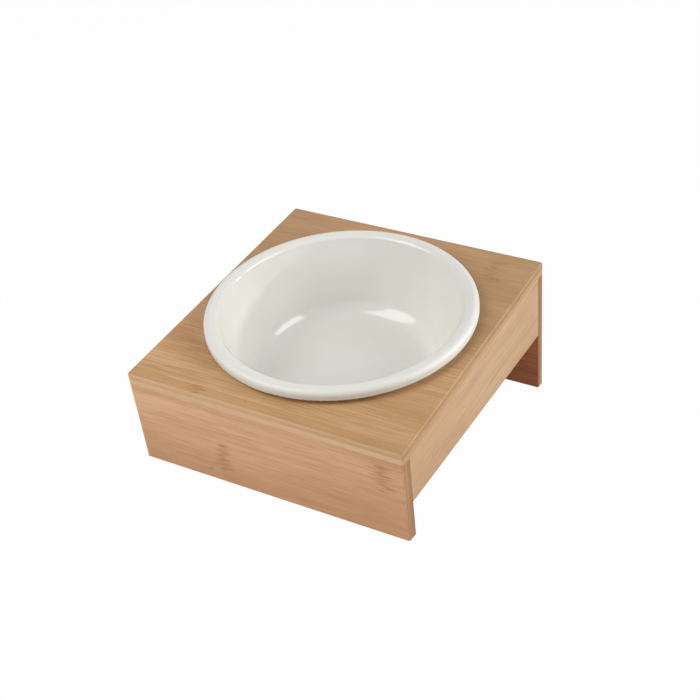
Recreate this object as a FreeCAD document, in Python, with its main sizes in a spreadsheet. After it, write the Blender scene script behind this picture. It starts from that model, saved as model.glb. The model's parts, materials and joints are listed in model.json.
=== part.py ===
import FreeCAD, Part
import os
import Sketcher

# Pet bowl with a sloping bamboo stand, in millimetres.
# Every piece is drawn in the stand's own frame and then tilted into place: X runs along the front,
# Y runs up the slope of the top board, Z points out of its upper face, and the origin lies in the
# middle of that face. Seated, +Z is up, the front is at -Y and the legs stand on Z = 0.

DIMENSIONS = [
    ("lip_radius", 79.0, "outer radius of the bowl's lip, which the stand is sized around"),
    ("side_margin", 7.0, "top board beside the lip, on each side"),
    ("end_margin", 13.0, "top board before and behind the lip, along the slope"),
    ("tilt", 9.5, "slope of the top board in degrees"),
    ("front_leg_length", 62.0, "front face, from the top board's upper face to the floor"),
    ("board_thickness", 7.2, "thickness of the top board"),
    ("leg_thickness", 7.0, "thickness of the front and rear legs"),
    ("rail_thickness", 7.0, "thickness of the side rails"),
    ("rail_front_height", 32.0, "height of a rail where it meets the front leg"),
    ("rail_rear_height", 43.0, "height of a rail where it meets the rear leg"),
    ("corner_round", 1.2, "rounding of the stand's upright corners"),
    ("edge_ease", 0.8, "easing of the free edges of the boards"),
    ("joint_ease", 0.3, "easing of edges that meet flush in a joint line"),
    ("hole_clearance", 0.5, "gap between the bowl's body and the hole, at the upper face"),
    ("hole_ease", 0.5, "rounding of the hole's edges"),
    ("lip_crown", 8.9, "height of the lip's crown above the top board"),
    ("lip_underside", 2.3, "height of the lip's lower edge above the top board"),
    ("lip_overhang", 2.6, "how far the lip's underside runs level before it falls to the seat"),
    ("lip_fall", 1.2, "fall of the lip's crown towards the inside"),
    ("lip_width", 7.7, "width of the lip, from its outside to the inner wall"),
    ("lip_round", 3.2, "rounding of the lip's outer upper edge"),
    ("lip_lower_round", 0.9, "rounding of the lip's outer lower edge"),
    ("lip_inner_round", 2.2, "rounding between lip and inner wall"),
    ("seat_width", 1.0, "width of the flat ring that the bowl rests on"),
    ("seat_round", 1.0, "hollow between the lip's underside and the seat"),
    ("wall_slope", 20.0, "lean of the bowl's wall from its axis in degrees"),
    ("bowl_wall", 4.5, "thickness of the bowl's wall"),
    ("bowl_depth", 39.0, "depth of the bowl's floor below the top board's upper face"),
    ("bowl_floor", 5.0, "thickness of the bowl's floor"),
    ("floor_round", 14.0, "rounding between inner wall and floor"),
    ("base_round", 10.0, "rounding between outer wall and underside"),
    ("foot_inset", 13.0, "step from the outer wall's lower end in to the foot ring"),
    ("foot_width", 5.0, "width of the foot ring"),
    ("foot_height", 2.5, "height of the foot ring"),
    ("foot_round", 0.8, "rounding of the foot ring's edges"),
    ("dowel_radius", 2.0, "radius of the wooden dowels"),
    ("dowel_in_face", 4.2, "length of a dowel that sits in a board's face"),
    ("dowel_in_edge", 12.0, "length of a dowel that sits in a board's edge"),
    ("dowel_chamfer", 0.5, "chamfer of the dowel ends"),
    ("dowel_clearance", 0.1, "radial gap between dowel and hole"),
    ("dowel_end_gap", 0.4, "glue gap at the end of a dowel hole"),
    ("leg_dowel_inset", 30.0, "distance of a leg's dowels from the stand's sides"),
    ("rail_dowel_drop", 8.0, "upper dowel of a rail below the top board"),
    ("rail_dowel_spacing", 15.0, "distance between the two dowels at a rail's end"),
]

# Lines worked out from the driving dimensions
HALF_WIDTH = "(Sizes.lip_radius + Sizes.side_margin)"
HALF_DEPTH = "(Sizes.lip_radius + Sizes.end_margin)"
JOINT_DEPTH = f"({HALF_DEPTH} - Sizes.leg_thickness)"
DOWEL_HOLE_RADIUS = "(Sizes.dowel_radius + Sizes.dowel_clearance)"
FACE_HOLE_DEPTH = "(Sizes.dowel_in_face + Sizes.dowel_end_gap)"
EDGE_HOLE_DEPTH = "(Sizes.dowel_in_edge + Sizes.dowel_end_gap)"
LIP_EDGE_HEIGHT = "(Sizes.lip_crown - Sizes.lip_fall)"
WALL_RISE = f"({LIP_EDGE_HEIGHT} + Sizes.bowl_depth)"
LIP_INNER_RADIUS = "(Sizes.lip_radius - Sizes.lip_width)"
FLOOR_RADIUS = f"({LIP_INNER_RADIUS} - {WALL_RISE} * tan(Sizes.wall_slope))"
BODY_RADIUS = (
    f"({LIP_INNER_RADIUS} - {LIP_EDGE_HEIGHT} * tan(Sizes.wall_slope)"
    " + Sizes.bowl_wall / cos(Sizes.wall_slope))"
)
HOLE_RADIUS = f"({BODY_RADIUS} + Sizes.hole_clearance)"
SEAT_RADIUS = f"({HOLE_RADIUS} + Sizes.hole_ease + Sizes.seat_width)"
BASE_LEVEL = "(-Sizes.bowl_depth - Sizes.bowl_floor)"
BASE_RADIUS = f"({BODY_RADIUS} + {BASE_LEVEL} * tan(Sizes.wall_slope))"
FOOT_LEVEL = f"({BASE_LEVEL} - Sizes.foot_height)"
FOOT_RADIUS = f"({BASE_RADIUS} - Sizes.foot_inset)"
FOOT_INNER = f"({FOOT_RADIUS} - Sizes.foot_width)"

# Half of the bowl's section: its corners (radius, height) before rounding, from axis to axis
BOWL_CORNERS = {
    "base_middle": ("0", BASE_LEVEL),
    "foot_root_inner": (FOOT_INNER, BASE_LEVEL),
    "foot_inner": (FOOT_INNER, FOOT_LEVEL),
    "foot_outer": (FOOT_RADIUS, FOOT_LEVEL),
    "foot_root_outer": (FOOT_RADIUS, BASE_LEVEL),
    "base": (BASE_RADIUS, BASE_LEVEL),
    "seat_inner": (BODY_RADIUS, "0"),
    "seat_outer": (SEAT_RADIUS, "0"),
    "underside": ("(Sizes.lip_radius - Sizes.lip_overhang)", "Sizes.lip_underside"),
    "lip_lower": ("Sizes.lip_radius", "Sizes.lip_underside"),
    "lip_upper": ("Sizes.lip_radius", "Sizes.lip_crown"),
    "lip_inner": (LIP_INNER_RADIUS, LIP_EDGE_HEIGHT),
    "floor": (FLOOR_RADIUS, "-Sizes.bowl_depth"),
    "floor_middle": ("0", "-Sizes.bowl_depth"),
}
BOWL_ROUNDS = [
    ("floor_round", ["floor"]),
    ("base_round", ["base"]),
    ("lip_round", ["lip_upper"]),
    ("lip_inner_round", ["lip_inner"]),
    ("lip_lower_round", ["lip_lower"]),
    ("seat_round", ["underside"]),
    ("foot_round", ["foot_inner", "foot_outer"]),
]

# Signs of the two ends and the two sides in the stand's frame
ENDS = {"front": "-", "rear": ""}
SIDES = {"left": "-", "right": ""}

NEAR = 1e-4

doc = FreeCAD.newDocument("PetBowlStand")
sheet = doc.addObject("Spreadsheet::Sheet", "Sizes")


def fill_sheet():
    """Writes each driving dimension on its own row: name, value and meaning."""
    for row, (alias, value, meaning) in enumerate(DIMENSIONS, start=1):
        sheet.set(f"A{row}", alias)
        sheet.set(f"B{row}", str(value))
        sheet.setAlias(f"B{row}", alias)
        sheet.set(f"C{row}", meaning)
    doc.recompute()


def value(expression):
    """The present value of an expression in the sheet's names."""
    return float(sheet.evalExpression(expression.replace("Sizes.", "")))


def new_body(label):
    """An empty body, tilted so that the front leg's outer edge and both legs stand on the floor."""
    body = doc.addObject("PartDesign::Body", label)
    body.Label = label
    body.Placement = FreeCAD.Placement(FreeCAD.Vector(), FreeCAD.Rotation(FreeCAD.Vector(1, 0, 0), 1))
    rear_leg_length = f"(Sizes.front_leg_length + 2 * {HALF_DEPTH} * tan(Sizes.tilt))"
    body.setExpression("Placement.Rotation.Angle", "Sizes.tilt")
    body.setExpression("Placement.Base.y", f"-{rear_leg_length} * sin(Sizes.tilt) / 2")
    body.setExpression(
        "Placement.Base.z",
        f"{HALF_DEPTH} * sin(Sizes.tilt) + Sizes.front_leg_length * cos(Sizes.tilt)",
    )
    return body


def new_sketch(body, name, plane_role, offset="0"):
    """A sketch on one of the body's origin planes, moved along the plane's normal by offset."""
    plane = next(f for f in body.Origin.OriginFeatures if f.Role == plane_role)
    sketch = body.newObject("Sketcher::SketchObject", name)
    sketch.AttachmentSupport = [(plane, "")]
    sketch.MapMode = "FlatFace"
    sketch.setExpression("AttachmentOffset.Base.z", offset)
    return sketch


def pin_point(sketch, geometry, vertex, x, y):
    """Ties a sketch point to two expressions, measured from the sketch's origin."""
    for kind, expression in (("DistanceX", x), ("DistanceY", y)):
        index = sketch.addConstraint(
            Sketcher.Constraint(kind, -1, 1, geometry, vertex, value(expression))
        )
        sketch.setExpression(f"Constraints[{index}]", expression)


def draw_polygon(sketch, corners):
    """A closed outline of straight lines through corners given as pairs of expressions."""
    points = [FreeCAD.Vector(value(x), value(y), 0) for x, y in corners]
    lines = []
    for start, end in zip(points, points[1:] + points[:1]):
        lines.append(sketch.addGeometry(Part.LineSegment(start, end), False))
    for line, following in zip(lines, lines[1:] + lines[:1]):
        sketch.addConstraint(Sketcher.Constraint("Coincident", line, 2, following, 1))
    for line, (x, y) in zip(lines, corners):
        pin_point(sketch, line, 1, x, y)


def draw_circle(sketch, x, y, radius):
    """A circle whose centre and radius are expressions."""
    centre = FreeCAD.Vector(value(x), value(y), 0)
    circle = sketch.addGeometry(Part.Circle(centre, FreeCAD.Vector(0, 0, 1), value(radius)), False)
    pin_point(sketch, circle, 3, x, y)
    index = sketch.addConstraint(Sketcher.Constraint("Radius", circle, value(radius)))
    sketch.setExpression(f"Constraints[{index}]", radius)


def draw_circles(sketch, places, radius):
    """Equal circles at places given as pairs of expressions."""
    for x, y in places:
        draw_circle(sketch, x, y, radius)


def pad(body, sketch, length, reverse=False, side="One side", second_length=None):
    """Raises a sketch into a solid; with two sides it also grows the other way."""
    feature = body.newObject("PartDesign::Pad", sketch.Name + "_pad")
    feature.Profile = sketch
    feature.SideType = side
    feature.Reversed = reverse
    feature.setExpression("Length", length)
    if second_length:
        feature.setExpression("Length2", second_length)
    doc.recompute()


def pocket(body, sketch, depth, reverse=False):
    """Cuts a sketch into the body and makes sure that material was removed."""
    before = body.Tip.Shape.Volume
    feature = body.newObject("PartDesign::Pocket", sketch.Name + "_cut")
    feature.Profile = sketch
    feature.Reversed = reverse
    feature.setExpression("Length", depth)
    doc.recompute()
    if feature.Shape.Volume >= before - NEAR:
        raise RuntimeError(f"{feature.Name} cuts nothing")


def edges_where(body, test):
    """Names of the edges of the body's latest shape that pass a test."""
    shape = body.Tip.Shape
    return [f"Edge{i}" for i, edge in enumerate(shape.Edges, start=1) if test(edge)]


def dress(body, kind, name, size_name, size, test):
    """Rounds or chamfers the edges that pass a test."""
    base = body.Tip
    names = edges_where(body, test)
    if not names:
        raise RuntimeError(f"{name} finds no edge")
    feature = body.newObject(f"PartDesign::{kind}", name)
    feature.Base = (base, names)
    feature.setExpression(size_name, size)
    doc.recompute()


def rounded(body, name, radius, test):
    """Rounds the edges that pass a test."""
    dress(body, "Fillet", name, "Radius", radius, test)


def runs_along(edge, axis):
    """True for a straight edge parallel to the axis: 0 for X, 1 for Y, 2 for Z."""
    if edge.Curve.TypeId != "Part::GeomLine":
        return False
    direction = edge.Curve.Direction
    return abs(abs(direction[axis]) - 1) < NEAR


def lies_at(edge, axis, place):
    """True when the whole edge lies in the plane where the axis has this place."""
    box = edge.BoundBox
    low = (box.XMin, box.YMin, box.ZMin)[axis]
    high = (box.XMax, box.YMax, box.ZMax)[axis]
    return abs(low - place) < NEAR and abs(high - place) < NEAR


def is_circle(edge, radius, height):
    """True for a ring about the bowl's axis with this radius and height."""
    if edge.Curve.TypeId != "Part::GeomCircle":
        return False
    centre = edge.Curve.Center
    same_size = abs(edge.Curve.Radius - radius) < NEAR and abs(centre.z - height) < NEAR
    return same_size and abs(centre.x) < NEAR and abs(centre.y) < NEAR


def is_ring(edge):
    """True for any round edge."""
    return edge.Curve.TypeId == "Part::GeomCircle"


def floor_drop(along):
    """Where the floor lies in the stand's frame, at a place up the slope."""
    return f"(-Sizes.front_leg_length - ({along} + {HALF_DEPTH}) * tan(Sizes.tilt))"


def leg_dowel_places(end):
    """Where the two dowels of one leg stand, seen from above."""
    along = f"{end}({HALF_DEPTH} - Sizes.leg_thickness / 2)"
    return [(f"{side}({HALF_WIDTH} - Sizes.leg_dowel_inset)", along) for side in SIDES.values()]


def rail_dowel_places(side):
    """Where the upper and the lower dowel of one rail lie, seen from the front."""
    across = f"{side}({HALF_WIDTH} - Sizes.rail_thickness / 2)"
    upper = "(-Sizes.board_thickness - Sizes.rail_dowel_drop)"
    return [(across, upper), (across, f"({upper} - Sizes.rail_dowel_spacing)")]


def make_top_board():
    """The sloping board with the bowl's hole and, below, the holes for the leg dowels."""
    body = new_body("top_board")
    outline = new_sketch(body, "board_outline", "XY_Plane")
    draw_polygon(outline, [
        (f"-{HALF_WIDTH}", f"-{HALF_DEPTH}"),
        (HALF_WIDTH, f"-{HALF_DEPTH}"),
        (HALF_WIDTH, HALF_DEPTH),
        (f"-{HALF_WIDTH}", HALF_DEPTH),
    ])
    draw_circle(outline, "0", "0", HOLE_RADIUS)
    pad(body, outline, "Sizes.board_thickness", reverse=True)
    underside = -value("Sizes.board_thickness")
    hole = value(HOLE_RADIUS)
    front, rear = -value(HALF_DEPTH), value(HALF_DEPTH)
    rounded(
        body,
        "board_corners",
        "Sizes.corner_round",
        lambda e: runs_along(e, 2) and (lies_at(e, 1, front) or lies_at(e, 1, rear)),
    )
    rounded(
        body,
        "board_upper_edge",
        "Sizes.edge_ease",
        lambda e: lies_at(e, 2, 0) and not is_circle(e, hole, 0),
    )
    rounded(
        body,
        "board_lower_edge",
        "Sizes.joint_ease",
        lambda e: lies_at(e, 2, underside) and not is_circle(e, hole, underside),
    )
    rounded(
        body,
        "board_hole_edges",
        "Sizes.hole_ease",
        lambda e: is_circle(e, hole, 0) or is_circle(e, hole, underside),
    )
    places = new_sketch(body, "board_dowel_places", "XY_Plane", "-Sizes.board_thickness")
    for end in ENDS.values():
        draw_circles(places, leg_dowel_places(end), DOWEL_HOLE_RADIUS)
    pocket(body, places, FACE_HOLE_DEPTH, reverse=True)
    return body


def make_leg(end_name):
    """A leg panel square to the top board, with its foot cut level."""
    label = f"{end_name}_leg"
    end = ENDS[end_name]
    body = new_body(label)
    outer = f"({end}{HALF_DEPTH})"
    inner = f"({end}{JOINT_DEPTH})"
    section = new_sketch(body, f"{label}_section", "YZ_Plane")
    draw_polygon(section, [
        (outer, "-Sizes.board_thickness"),
        (outer, floor_drop(outer)),
        (inner, floor_drop(inner)),
        (inner, "-Sizes.board_thickness"),
    ])
    pad(body, section, f"2 * {HALF_WIDTH}", side="Symmetric")
    outer_place = value(outer)
    inner_place = value(inner)
    top_place = -value("Sizes.board_thickness")
    rounded(
        body,
        f"{label}_corners",
        "Sizes.corner_round",
        lambda e: runs_along(e, 2) and lies_at(e, 1, outer_place),
    )
    rounded(
        body,
        f"{label}_joint",
        "Sizes.joint_ease",
        lambda e: lies_at(e, 2, top_place) and not lies_at(e, 1, inner_place),
    )
    lower_middle = value(floor_drop(outer)) / 2
    rounded(
        body,
        f"{label}_foot",
        "Sizes.joint_ease",
        lambda e: runs_along(e, 0) and e.BoundBox.ZMax < lower_middle,
    )
    top_holes = new_sketch(body, f"{label}_top_dowel_places", "XY_Plane", "-Sizes.board_thickness")
    side_holes = new_sketch(body, f"{label}_rail_dowel_places", "XZ_Plane", f"-{inner}")
    draw_circles(top_holes, leg_dowel_places(end), DOWEL_HOLE_RADIUS)
    for side in SIDES.values():
        draw_circles(side_holes, rail_dowel_places(side), DOWEL_HOLE_RADIUS)
    pocket(body, top_holes, EDGE_HOLE_DEPTH)
    pocket(body, side_holes, FACE_HOLE_DEPTH, reverse=(end_name == "front"))
    return body


def make_rail(side_name):
    """A tapered side board between the legs."""
    label = f"{side_name}_rail"
    side = SIDES[side_name]
    body = new_body(label)
    section = new_sketch(body, f"{label}_section", "YZ_Plane", f"{side}{HALF_WIDTH}")
    draw_polygon(section, [
        (f"-{JOINT_DEPTH}", "-Sizes.board_thickness"),
        (f"-{JOINT_DEPTH}", "-Sizes.board_thickness - Sizes.rail_front_height"),
        (JOINT_DEPTH, "-Sizes.board_thickness - Sizes.rail_rear_height"),
        (JOINT_DEPTH, "-Sizes.board_thickness"),
    ])
    pad(body, section, "Sizes.rail_thickness", reverse=(side_name == "right"))
    top_place = -value("Sizes.board_thickness")
    outer_place = value(f"{side}{HALF_WIDTH}")
    middle_place = top_place - value("Sizes.rail_front_height") / 2
    joint = value(JOINT_DEPTH)
    rounded(
        body,
        f"{label}_lower_edges",
        "Sizes.edge_ease",
        lambda e: e.BoundBox.ZMax < middle_place and e.BoundBox.YLength > joint,
    )
    rounded(
        body,
        f"{label}_joint",
        "Sizes.joint_ease",
        lambda e: lies_at(e, 0, outer_place) and (lies_at(e, 2, top_place) or runs_along(e, 2)),
    )
    for end_name, end in ENDS.items():
        name = f"{label}_{end_name}_dowel_places"
        places = new_sketch(body, name, "XZ_Plane", f"-({end}{JOINT_DEPTH})")
        draw_circles(places, rail_dowel_places(side), DOWEL_HOLE_RADIUS)
        pocket(body, places, EDGE_HOLE_DEPTH, reverse=(end_name == "rear"))
    return body


def make_leg_dowels(end_name):
    """The dowels between the top board and one leg."""
    label = f"{end_name}_leg_dowels"
    body = new_body(label)
    places = new_sketch(body, f"{label}_places", "XY_Plane", "-Sizes.board_thickness")
    draw_circles(places, leg_dowel_places(ENDS[end_name]), "Sizes.dowel_radius")
    pad(body, places, "Sizes.dowel_in_face", side="Two sides", second_length="Sizes.dowel_in_edge")
    dress(body, "Chamfer", f"{label}_ends", "Size", "Sizes.dowel_chamfer", is_ring)
    return body


def make_rail_dowels(side_name):
    """The dowels at both ends of one rail."""
    label = f"{side_name}_rail_dowels"
    body = new_body(label)
    for end_name, end in ENDS.items():
        places = new_sketch(body, f"{label}_{end_name}_places", "XZ_Plane", f"-({end}{JOINT_DEPTH})")
        draw_circles(places, rail_dowel_places(SIDES[side_name]), "Sizes.dowel_radius")
        lengths = ["Sizes.dowel_in_face", "Sizes.dowel_in_edge"]
        if end_name == "rear":
            lengths.reverse()
        pad(body, places, lengths[0], side="Two sides", second_length=lengths[1])
    dress(body, "Chamfer", f"{label}_ends", "Size", "Sizes.dowel_chamfer", is_ring)
    return body


def make_bowl():
    """The bowl, turned about its axis from one section, with every corner rounded."""
    body = new_body("bowl")
    section = new_sketch(body, "bowl_section", "XZ_Plane")
    draw_polygon(section, list(BOWL_CORNERS.values()))
    turn = body.newObject("PartDesign::Revolution", "bowl_turn")
    turn.Profile = section
    turn.ReferenceAxis = (section, ["V_Axis"])
    turn.Angle = 360
    doc.recompute()
    for size, corners in BOWL_ROUNDS:
        rings = [(value(BOWL_CORNERS[c][0]), value(BOWL_CORNERS[c][1])) for c in corners]
        rounded(
            body,
            f"bowl_{size}",
            f"Sizes.{size}",
            lambda e: any(is_circle(e, radius, height) for radius, height in rings),
        )
    return body


def check(bodies):
    """Stops the build when any object failed or any piece isn't a sound solid."""
    doc.recompute()
    for item in doc.Objects:
        if "Invalid" in item.State or "Error" in item.State:
            raise RuntimeError(f"{item.Name} failed: {item.State}")
    for body in bodies:
        if body.Shape.isNull() or not body.Shape.isValid() or not body.Shape.Solids:
            raise RuntimeError(f"{body.Label} has no sound shape")


def write(bodies):
    """Writes each piece to its own file."""
    os.makedirs("parts", exist_ok=True)
    for body in bodies:
        body.Shape.exportStep(f"parts/{body.Label}.step")
        print(f"{body.Label}: {len(body.Shape.Solids)} solids, {body.Shape.Volume / 1000:.2f} cm3")


fill_sheet()
pieces = [
    make_top_board(),
    make_leg("front"),
    make_leg("rear"),
    make_rail("left"),
    make_rail("right"),
    make_leg_dowels("front"),
    make_leg_dowels("rear"),
    make_rail_dowels("left"),
    make_rail_dowels("right"),
    make_bowl(),
]
check(pieces)
write(pieces)
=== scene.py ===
import json
import math
from collections import namedtuple

import bpy
from mathutils import Matrix, Vector


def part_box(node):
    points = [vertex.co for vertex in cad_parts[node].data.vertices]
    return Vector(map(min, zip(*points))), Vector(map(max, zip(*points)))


# Looks of a pet bowl in a sloping bamboo stand, in metres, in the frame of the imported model.

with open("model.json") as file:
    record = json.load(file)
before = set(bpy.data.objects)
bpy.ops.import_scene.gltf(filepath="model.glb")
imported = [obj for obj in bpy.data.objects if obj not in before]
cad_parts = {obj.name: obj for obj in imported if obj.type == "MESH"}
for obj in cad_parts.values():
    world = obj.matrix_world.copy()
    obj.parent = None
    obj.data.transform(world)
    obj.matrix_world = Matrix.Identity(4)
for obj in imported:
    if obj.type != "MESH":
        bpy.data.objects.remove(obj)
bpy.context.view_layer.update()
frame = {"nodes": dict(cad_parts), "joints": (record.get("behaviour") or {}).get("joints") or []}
nodes = frame["nodes"]

# The stand's own frame, in which the materials are placed: X along the front, Y up the slope and Z out of
# the top face, in millimetres from the middle of that face
X, Y, Z = 0, 1, 2
MM = 0.001
BOARD, PLY, STRIP = 7.2, 3.6, 22
HALF_WIDTH, HALF_DEPTH = 86, 92
OUT_OF_TOP = Vector(frame["joints"][0]["axis"])
TILT = math.atan2(-OUT_OF_TOP.y, OUT_OF_TOP.z)
BOARD_MIDDLE = sum((Vector(corner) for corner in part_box("top_board")), Vector()) / 2
TOP_MIDDLE = BOARD_MIDDLE + OUT_OF_TOP * BOARD / 2 * MM


def srgb(red, green, blue):
    """A colour given as 0 to 255 on screen, as the linear values that a shader takes."""
    channels = []
    for part in (red, green, blue):
        level = part / 255
        channels.append(level / 12.92 if level <= 0.04045 else ((level + 0.055) / 1.055) ** 2.4)
    return (*channels, 1)


class Graph:
    """Short calls that add shader nodes to one material or world and link them."""

    def __init__(self, owner):
        owner.use_nodes = True
        self.owner = owner
        self.tree = owner.node_tree

    def add(self, kind, **settings):
        node = self.tree.nodes.new(kind)
        for key, setting in settings.items():
            setattr(node, key, setting)
        return node

    def feed(self, socket, source):
        """Sets a socket to a number or colour, or links it to another socket."""
        if isinstance(source, bpy.types.NodeSocket):
            self.tree.links.new(source, socket)
        else:
            socket.default_value = source

    def math(self, operation, *sources, clamp=False):
        node = self.add("ShaderNodeMath", operation=operation, use_clamp=clamp)
        for socket, source in zip(node.inputs, sources):
            self.feed(socket, source)
        return node.outputs[0]

    def total(self, *sources):
        result = sources[0]
        for source in sources[1:]:
            result = self.math("ADD", result, source)
        return result

    def times(self, value, factor):
        return self.math("MULTIPLY", value, factor)

    def size_of(self, value):
        return self.math("ABSOLUTE", value)

    def from_middle(self, value, weight):
        """How far a value that goes from 0 to 1 is from 0.5, times a weight."""
        return self.times(self.math("SUBTRACT", value, 0.5), weight)

    def vector(self, x, y, z):
        node = self.add("ShaderNodeCombineXYZ")
        for socket, source in zip(node.inputs, (x, y, z)):
            self.feed(socket, source)
        return node.outputs[0]

    def split(self, vector):
        node = self.add("ShaderNodeSeparateXYZ")
        self.feed(node.inputs[0], vector)
        return node.outputs[0], node.outputs[1], node.outputs[2]

    def step(self, value, low, high, to_low=0.0, to_high=1.0):
        """A smooth change from to_low to to_high as value goes from low to high."""
        node = self.add("ShaderNodeMapRange", interpolation_type="SMOOTHSTEP")
        for socket, source in zip(node.inputs, (value, low, high, to_low, to_high)):
            self.feed(socket, source)
        return node.outputs[0]

    def facing(self, part, aside, towards):
        """Changes from aside to towards as a face turns to the axis that this part of its normal lies on."""
        turned_away, turned_to = 0.6, 0.95
        return self.step(self.size_of(part), turned_away, turned_to, aside, towards)

    def noise(self, vector, detail):
        node = self.add("ShaderNodeTexNoise")
        self.feed(node.inputs["Vector"], vector)
        node.inputs["Scale"].default_value = 1
        node.inputs["Detail"].default_value = detail
        return node.outputs[0]

    def grains(self, place, size, detail):
        """Noise of the same size in all directions."""
        return self.noise(self.vector(*[self.math("DIVIDE", part, size) for part in place]), detail)

    def mix(self, share, first, second):
        node = self.add("ShaderNodeMix", data_type="RGBA")
        self.feed(node.inputs[0], share)
        self.feed(node.inputs[6], first)
        self.feed(node.inputs[7], second)
        return node.outputs[2]

    def bump(self, height, strength, distance):
        node = self.add("ShaderNodeBump")
        node.inputs["Strength"].default_value = strength
        node.inputs["Distance"].default_value = distance
        self.feed(node.inputs["Height"], height)
        return node.outputs[0]

    def stand_frame(self):
        """The shaded point in the stand's own frame, and the normal there."""
        coordinates = self.add("ShaderNodeTexCoord")
        mapping = self.add("ShaderNodeMapping", vector_type="TEXTURE")
        mapping.inputs["Location"].default_value = TOP_MIDDLE
        mapping.inputs["Rotation"].default_value = (TILT, 0, 0)
        mapping.inputs["Scale"].default_value = (MM, MM, MM)
        self.feed(mapping.inputs[0], coordinates.outputs["Object"])
        turn = self.add("ShaderNodeVectorRotate", rotation_type="X_AXIS")
        turn.inputs["Angle"].default_value = -TILT
        self.feed(turn.inputs["Vector"], coordinates.outputs["Normal"])
        return self.split(mapping.outputs[0]), self.split(turn.outputs[0])

    def seen(self):
        """1 where the camera, a reflection or clear glass shows the surface, and 0 where it only lights."""
        path = self.add("ShaderNodeLightPath")
        direct_or_mirrored = self.math(
            "ADD", path.outputs["Is Camera Ray"], path.outputs["Is Glossy Ray"], clamp=True
        )
        return self.math("ADD", direct_or_mirrored, path.outputs["Is Transmission Ray"], clamp=True)

    def surface(self, colour, roughness, normal):
        """Feeds the material's shader and gives it back for its other settings."""
        shader = self.tree.nodes["Principled BSDF"]
        self.feed(shader.inputs["Base Color"], colour)
        self.feed(shader.inputs["Roughness"], roughness)
        self.feed(shader.inputs["Normal"], normal)
        return shader


# Colours, the darker one of a pair first
TOP_TONES = srgb(173, 130, 86), srgb(210, 171, 126)
LEG_TONES = srgb(204, 153, 109), srgb(232, 188, 145)
RAIL_TONES = srgb(166, 128, 92), srgb(193, 158, 121)
PALE_PLY = srgb(225, 183, 141), srgb(239, 199, 158)
# Painted shade, with some darker bare bamboo: the dark red-brown given to the inner faces of the legs and
# rails
PAINTED_SHADE_PLY = srgb(138, 66, 22), srgb(188, 104, 46)
NODE_BROWN = srgb(148, 92, 38)
SAWN_BROWN = srgb(122, 78, 24)
# Partly wear, partly a painted highlight along the rounded edges
EDGE_WEAR_AND_HIGHLIGHT = srgb(234, 198, 156)
DOWEL_TONES = srgb(196, 160, 116), srgb(222, 192, 150)
IVORY_TONES = srgb(223, 221, 213), srgb(229, 227, 221)
SPECK_TONE = srgb(206, 200, 184)
LIP_TONE = srgb(213, 213, 210)
CLAY_TONES = srgb(186, 172, 150), srgb(214, 204, 186)

# Bamboo's fibres, in millimetres, and the detail of their noise
Fibres = namedtuple("Fibres", "length width detail")
STREAKS = Fibres(length=95, width=1.5, detail=2)
BUNDLES = Fibres(length=38, width=0.75, detail=2)
FINE_LINES = Fibres(length=14, width=0.4, detail=1)
CLOUDS = Fibres(length=70, width=14, detail=2)
NODE_SHIFTS = Fibres(length=60, width=0.6, detail=1)
NODE_FIBRES = Fibres(length=45, width=0.5, detail=1)

# How much the strips, the glue lines and the fibres change a board's tone
STRIP_WEIGHT, GLUE_WEIGHT = 0.34, -0.12
STREAKS_WEIGHT, BUNDLES_WEIGHT, FINE_WEIGHT, CLOUDS_WEIGHT = 0.65, 0.95, 1.1, 1.0

# How far the fibres are shifted from strip to strip at most, in millimetres, and over how many of its own
# lengths a growth node's dashes are spread at most
STRIP_SHIFT, NODE_SPREAD = 400, 4

# A growth node: its place along the grain, its low and high end across it, its length and strength
GrowthNode = namedtuple("GrowthNode", "middle low high length strength")

# A change of colour along an axis, and the share of the new colour at its end
Drift = namedtuple("Drift", "axis start end colour share")

# The inner ply's two tones, and their share on the board's edges and on its inner face
Inner = namedtuple("Inner", "tones on_edge on_face")


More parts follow.
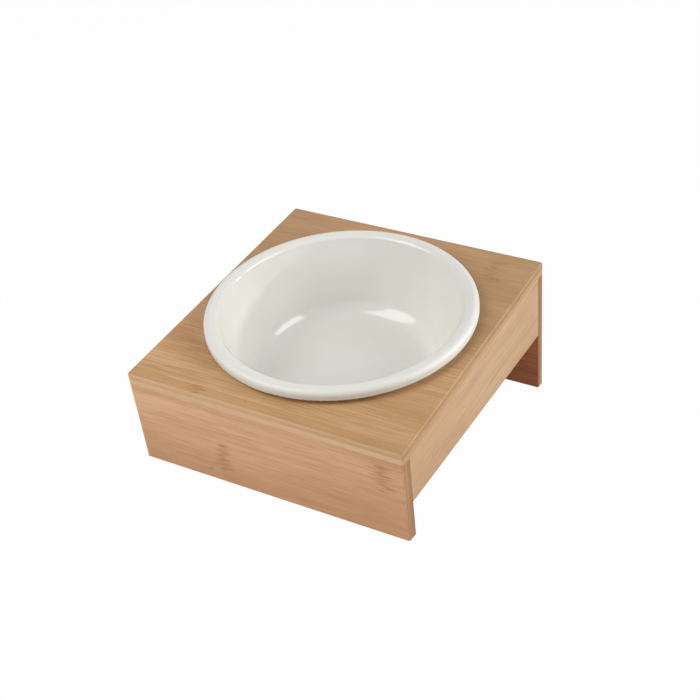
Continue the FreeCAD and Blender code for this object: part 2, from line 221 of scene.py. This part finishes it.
class Bamboo(Graph):
    """The material of one board: strips of bamboo glued side by side in two plies.

    grain and across are the axes along the fibres and across the strips. outer is the outer face's place on
    the remaining axis, and first_joint the place of one glue line across the strips. seed picks the strips'
    tones.
    """

    def __init__(self, name, grain, across, outer, first_joint, seed):
        super().__init__(bpy.data.materials.new(name))
        self.place, normal = self.stand_frame()
        depth = X + Y + Z - grain - across
        self.along, self.side, self.deep = self.place[grain], self.place[across], self.place[depth]
        self.end_normal, self.edge_normal, self.face_normal = normal[grain], normal[across], normal[depth]

        # Each strip of each ply has its own tone, and its own place in the fibres
        strips = self.math("DIVIDE", self.math("SUBTRACT", self.side, first_joint), STRIP)
        from_outer = self.size_of(self.math("SUBTRACT", self.deep, outer))
        self.is_inner = self.math("GREATER_THAN", from_outer, PLY)
        chance = self.add("ShaderNodeTexWhiteNoise", noise_dimensions="3D")
        self.feed(chance.inputs["Vector"], self.vector(self.math("FLOOR", strips), self.is_inner, seed))
        self.tone, shift, _ = self.split(chance.outputs["Color"])
        self.shifted = self.math("ADD", self.along, self.times(shift, STRIP_SHIFT))

        # A glue line takes up a small share of the strip on both its sides
        glue_share = 0.03
        in_strip = self.math("FRACT", strips)
        to_glue = self.math("MINIMUM", in_strip, self.math("SUBTRACT", 1, in_strip))
        self.glue_line = self.step(to_glue, 0, glue_share, 1, 0)

        self.streaks = self.fibres(STREAKS)
        self.fine_lines = self.fibres(FINE_LINES)

    def fibres(self, kind):
        """Noise drawn out along the grain."""
        vector = self.vector(
            self.math("DIVIDE", self.shifted, kind.length),
            self.math("DIVIDE", self.side, kind.width),
            self.math("DIVIDE", self.deep, kind.width),
        )
        return self.noise(vector, kind.detail)

    def lightness(self):
        """The fibres, strips and glue lines together, as a share of the lighter tone."""
        share = self.total(
            0.5,
            self.from_middle(self.tone, STRIP_WEIGHT),
            self.from_middle(self.streaks, STREAKS_WEIGHT),
            self.from_middle(self.fibres(BUNDLES), BUNDLES_WEIGHT),
            self.from_middle(self.fine_lines, FINE_WEIGHT),
            self.from_middle(self.fibres(CLOUDS), CLOUDS_WEIGHT),
            self.times(self.glue_line, GLUE_WEIGHT),
        )
        return self.step(share, 0, 1)

    def growth_nodes(self, marks):
        """Dark dashes along some of the fibres of a strip, each fibre's at its own place along the grain."""
        pale_below, dark_above, palest = 0.4, 0.6, 0.25
        core_share, end_share = 0.05, 0.6
        fade_share, longest_fade = 0.3, 2
        shifts = self.from_middle(self.fibres(NODE_SHIFTS), NODE_SPREAD)
        darkness = self.step(self.fibres(NODE_FIBRES), pale_below, dark_above, palest, 1)
        dashes = 0.0
        for mark in marks:
            dash_place = self.math("ADD", self.along, self.times(shifts, mark.length))
            gap = self.size_of(self.math("SUBTRACT", dash_place, mark.middle))
            core, end = core_share * mark.length, end_share * mark.length
            lengthwise = self.step(gap, core, end, mark.strength, 0)
            fade = min(longest_fade, fade_share * (mark.high - mark.low))
            rise = self.step(self.side, mark.low - fade, mark.low + fade)
            fall = self.step(self.side, mark.high - fade, mark.high + fade, 1, 0)
            cluster = self.times(lengthwise, self.times(rise, fall))
            dashes = self.math("MAXIMUM", dashes, cluster)
        return self.times(dashes, darkness)

    def edge_wear_and_highlight(self):
        """The share of pale colour on the rounded edges, where the normal lies on none of the axes: partly
        wear, partly a painted highlight along the edges.
        """
        most_rounded, flat_enough, most = 0.75, 0.985, 0.2
        flat = self.math("MAXIMUM", self.size_of(self.end_normal), self.size_of(self.edge_normal))
        flat = self.math("MAXIMUM", flat, self.size_of(self.face_normal))
        return self.step(flat, most_rounded, flat_enough, most, 0)

    def colour(self, tones, drifts, inner, marks, end, wear_and_highlight):
        light = self.lightness()
        colour = self.mix(light, *tones)
        for drift in drifts:
            share = self.step(self.place[drift.axis], drift.start, drift.end, 0, drift.share)
            colour = self.mix(share, colour, drift.colour)
        # On the legs and rails this is painted shade on the inner faces; on the top board it is the real
        # paler lower ply
        inner_share = self.times(self.is_inner, self.facing(self.face_normal, inner.on_edge, inner.on_face))
        colour = self.mix(inner_share, colour, self.mix(light, *inner.tones))
        colour = self.mix(self.growth_nodes(marks), colour, NODE_BROWN)

        # Planed edges are paler, sawn ends browner, most of all in the inner ply, and rounded edges paler,
        # partly from wear and partly as a painted highlight
        planed_share, outer_sawn = 0.5, 0.85
        planed = self.facing(self.edge_normal, 0, planed_share)
        colour = self.mix(planed, colour, self.mix(light, *PALE_PLY))
        by_ply = self.total(outer_sawn, self.times(self.is_inner, 1 - outer_sawn))
        sawn = self.times(self.facing(self.end_normal, 0, end), by_ply)
        colour = self.mix(sawn, colour, SAWN_BROWN)
        return self.mix(wear_and_highlight, colour, EDGE_WEAR_AND_HIGHLIGHT)

    def finish(self, tones, drifts, inner, marks, end):
        """Dresses the board, with end as the share of brown in its sawn ends, and gives the material."""
        smooth, streak_rough, worn_rough = 0.42, 0.14, 0.3
        fine_height, streak_height, glue_height = 0.6, 0.4, -0.4
        wear_and_highlight = self.edge_wear_and_highlight()
        roughness = self.total(smooth, self.times(self.streaks, streak_rough), self.times(wear_and_highlight, worn_rough))
        relief = self.total(
            self.times(self.fine_lines, fine_height),
            self.times(self.streaks, streak_height),
            self.times(self.glue_line, glue_height),
        )
        colour = self.colour(tones, drifts, inner, marks, end, wear_and_highlight)
        shader = self.surface(colour, roughness, self.bump(relief, strength=0.14, distance=0.2 * MM))
        shader.inputs["Specular IOR Level"].default_value = 0.3
        return self.owner


def top_board_bamboo():
    bamboo = Bamboo("bamboo_top_board", grain=X, across=Y, outer=0, first_joint=-85.5, seed=3)
    return bamboo.finish(
        TOP_TONES,
        drifts=[
            Drift(Y, -60, 40, srgb(156, 118, 92), 0.4),
            Drift(Y, -85.2, -85.8, srgb(158, 108, 58), 0.35),
            Drift(X, -30, 70, srgb(170, 138, 96), 0.3),
        ],
        inner=Inner(PALE_PLY, 0.52, 0.2),
        marks=[
            GrowthNode(-41.5, -92, -85.5, 5, 1.0),
            GrowthNode(-11, -87.8, -85.9, 1.5, 1.0),
            GrowthNode(62, 62, 83, 8, 0.7),
        ],
        end=0.46,
    )


def front_leg_bamboo():
    bamboo = Bamboo("bamboo_front_leg", grain=X, across=Z, outer=-HALF_DEPTH, first_joint=-10.5, seed=7)
    return bamboo.finish(
        LEG_TONES,
        drifts=[Drift(X, 0, 86, srgb(196, 142, 96), 0.3), Drift(Z, -16, -56, srgb(184, 134, 94), 0.35)],
        inner=Inner(PAINTED_SHADE_PLY, 0.1, 0.4),
        marks=[
            GrowthNode(-29, -53, -33, 6.5, 0.85),
            GrowthNode(-40, -56, -54, 3, 0.9),
            GrowthNode(73, -31, -11, 7.5, 0.75),
        ],
        end=0.78,
    )


def rear_leg_bamboo():
    bamboo = Bamboo("bamboo_rear_leg", grain=X, across=Z, outer=HALF_DEPTH, first_joint=-14, seed=11)
    return bamboo.finish(
        LEG_TONES,
        drifts=[Drift(X, 86, -60, srgb(186, 134, 92), 0.4)],
        # Mostly painted shade on the rear leg's inner face
        inner=Inner(PAINTED_SHADE_PLY, 0.1, 0.9),
        marks=[GrowthNode(22, -58, -36, 7.5, 0.65), GrowthNode(-58, -80, -58, 7, 0.65)],
        end=0.9,
    )


def left_rail_bamboo():
    bamboo = Bamboo("bamboo_left_rail", grain=Y, across=Z, outer=-HALF_WIDTH, first_joint=-13, seed=17)
    return bamboo.finish(
        RAIL_TONES,
        drifts=[Drift(Y, 60, -80, srgb(180, 134, 98), 0.4)],
        inner=Inner(PAINTED_SHADE_PLY, 0.1, 0.3),
        marks=[GrowthNode(40, -35, -13, 7, 0.55)],
        end=0.3,
    )


def right_rail_bamboo():
    bamboo = Bamboo("bamboo_right_rail", grain=Y, across=Z, outer=HALF_WIDTH, first_joint=-12, seed=19)
    return bamboo.finish(
        RAIL_TONES,
        drifts=[Drift(Y, 40, -90, srgb(178, 136, 96), 0.4), Drift(Y, -20, 90, srgb(158, 118, 86), 0.2)],
        inner=Inner(PAINTED_SHADE_PLY, 0.1, 0.3),
        marks=[GrowthNode(-33, -36, -34, 2, 0.6), GrowthNode(-61, -27, -25, 1.5, 0.7)],
        end=0.3,
    )


def glaze():
    """Ivory-white glaze over stoneware, duller and cooler on the lip, with a bare ring under the foot."""
    cloud_size, ripple_size, speck_size, grit_size = 26, 9, 0.9, 0.35
    speck_from, speck_to, speck_share = 0.7, 0.78, 0.18
    lip_start, lip_full, lip_share = 72, 75, 0.25
    foot_low, foot_high = -46.4, -45.9
    smooth, cloud_rough, lip_rough, bare_rough = 0.08, 0.04, 0.28, 0.7
    grit_height = 3
    graph = Graph(bpy.data.materials.new("ivory_glaze"))
    place, _ = graph.stand_frame()

    clouds = graph.grains(place, cloud_size, detail=2)
    colour = graph.mix(clouds, *IVORY_TONES)
    specks = graph.step(graph.grains(place, speck_size, detail=1), speck_from, speck_to, 0, speck_share)
    colour = graph.mix(specks, colour, SPECK_TONE)

    squares = [graph.math("POWER", place[axis], 2) for axis in (X, Y)]
    radius = graph.math("SQRT", graph.total(*squares))
    lip = graph.step(radius, lip_start, lip_full)
    colour = graph.mix(graph.times(lip, lip_share), colour, LIP_TONE)

    bare = graph.step(place[Z], foot_low, foot_high, 1, 0)
    grit = graph.grains(place, grit_size, detail=3)
    colour = graph.mix(bare, colour, graph.mix(grit, *CLAY_TONES))

    roughness = graph.total(
        smooth,
        graph.times(clouds, cloud_rough),
        graph.times(lip, lip_rough),
        graph.times(bare, bare_rough),
    )
    ripple = graph.grains(place, ripple_size, detail=1)
    relief = graph.total(ripple, graph.times(graph.times(grit, bare), grit_height))
    graph.surface(colour, roughness, graph.bump(relief, strength=0.05, distance=0.3 * MM))
    return graph.owner


def hardwood():
    """Bare hardwood of the hidden dowels."""
    line_size, smooth, line_rough = 0.8, 0.6, 0.2
    graph = Graph(bpy.data.materials.new("dowel_hardwood"))
    place, _ = graph.stand_frame()
    lines = graph.grains(place, line_size, detail=3)
    roughness = graph.total(smooth, graph.times(lines, line_rough))
    relief = graph.bump(lines, strength=0.2, distance=0.2 * MM)
    graph.surface(graph.mix(lines, *DOWEL_TONES), roughness, relief)
    return graph.owner


def dress(node, material):
    """Gives a CAD node one material on all its faces."""
    for slot in nodes[node].material_slots:
        slot.material = material


def add_object(name, data):
    thing = bpy.data.objects.new(name, data)
    bpy.context.scene.collection.objects.link(thing)
    return thing


def make_floor():
    """A floor just under the feet, seen as white ground with a trace of the stand's shadow."""
    reach, low = 4, -0.1 * MM
    white_share = 0.98
    mesh = bpy.data.meshes.new("floor")
    corners = [(-reach, -reach, low), (reach, -reach, low), (reach, reach, low), (-reach, reach, low)]
    mesh.from_pydata(corners, [], [(0, 1, 2, 3)])
    floor = add_object("floor", mesh)

    graph = Graph(bpy.data.materials.new("floor_white"))
    matte = graph.tree.nodes["Principled BSDF"]
    matte.inputs["Base Color"].default_value = (0.8, 0.8, 0.8, 1)
    matte.inputs["Roughness"].default_value = 0.9
    matte.inputs["Specular IOR Level"].default_value = 0
    white = graph.add("ShaderNodeEmission")
    blend = graph.add("ShaderNodeMixShader")
    graph.feed(blend.inputs[0], graph.times(graph.seen(), white_share))
    graph.feed(blend.inputs[1], matte.outputs[0])
    graph.feed(blend.inputs[2], white.outputs[0])
    graph.feed(graph.tree.nodes["Material Output"].inputs["Surface"], blend.outputs[0])
    mesh.materials.append(graph.owner)


def make_world():
    """White surroundings that light the object only dimly."""
    light_level = 0.2
    graph = Graph(bpy.data.worlds.new("studio"))
    back = graph.tree.nodes["Background"]
    back.inputs["Color"].default_value = (1, 1, 1, 1)
    strength = graph.total(light_level, graph.times(graph.seen(), 1 - light_level))
    graph.feed(back.inputs["Strength"], strength)
    bpy.context.scene.world = graph.owner


def from_bowl(azimuth, elevation):
    """A direction from the bowl, in degrees: azimuth 0 is the front, 90 the right side."""
    turn, rise = math.radians(azimuth), math.radians(elevation)
    return Vector((math.sin(turn) * math.cos(rise), -math.cos(turn) * math.cos(rise), math.sin(rise)))


def softbox(name, azimuth, elevation, distance, width, height, radiance):
    """A rectangular lamp that looks at the bowl from a direction."""
    bowl_middle = Vector((0, 0, 0.06))
    lamp = bpy.data.lights.new(name, "AREA")
    lamp.shape = "RECTANGLE"
    lamp.size, lamp.size_y = width, height
    lamp.energy = radiance * math.pi * width * height
    thing = add_object(name, lamp)
    away = from_bowl(azimuth, elevation)
    thing.location = bowl_middle + away * distance
    thing.rotation_mode = "QUATERNION"
    thing.rotation_quaternion = away.to_track_quat("Z", "Y")


def make_camera():
    """The photograph's view: a 700 px square frame, cropped off the lens's axis."""
    frame_px, focal_px = 700, 1285.693
    centre_x_px, centre_y_px = 379.042, 396.471
    eye = Vector((0.327569, -0.573609, 0.423243))
    away = from_bowl(azimuth=28.198, elevation=31.547)
    camera = bpy.data.cameras.new("camera")
    camera.sensor_width = 36
    camera.lens = camera.sensor_width * focal_px / frame_px
    camera.shift_x = (frame_px / 2 - centre_x_px) / frame_px
    camera.shift_y = (centre_y_px - frame_px / 2) / frame_px
    thing = add_object("camera", camera)
    turn = away.to_track_quat("Z", "Y").to_matrix().to_4x4()
    thing.matrix_world = Matrix.Translation(eye) @ turn
    bpy.context.scene.camera = thing


dress("top_board", top_board_bamboo())
dress("front_leg", front_leg_bamboo())
dress("rear_leg", rear_leg_bamboo())
dress("left_rail", left_rail_bamboo())
dress("right_rail", right_rail_bamboo())
dress("bowl", glaze())
dowel_wood = hardwood()
for name in ("front_leg_dowels", "rear_leg_dowels", "left_rail_dowels", "right_rail_dowels"):
    dress(name, dowel_wood)

make_floor()
make_world()
softbox("right_softbox", azimuth=99, elevation=29, distance=1.1, width=0.72, height=0.68, radiance=5.2)
softbox("left_softbox", azimuth=-42, elevation=40, distance=1.1, width=0.68, height=0.95, radiance=4.4)
softbox("back_lamp", azimuth=129.5, elevation=17, distance=1.5, width=0.08, height=0.08, radiance=260)
make_camera()
bpy.context.scene.view_settings.view_transform = "Standard"
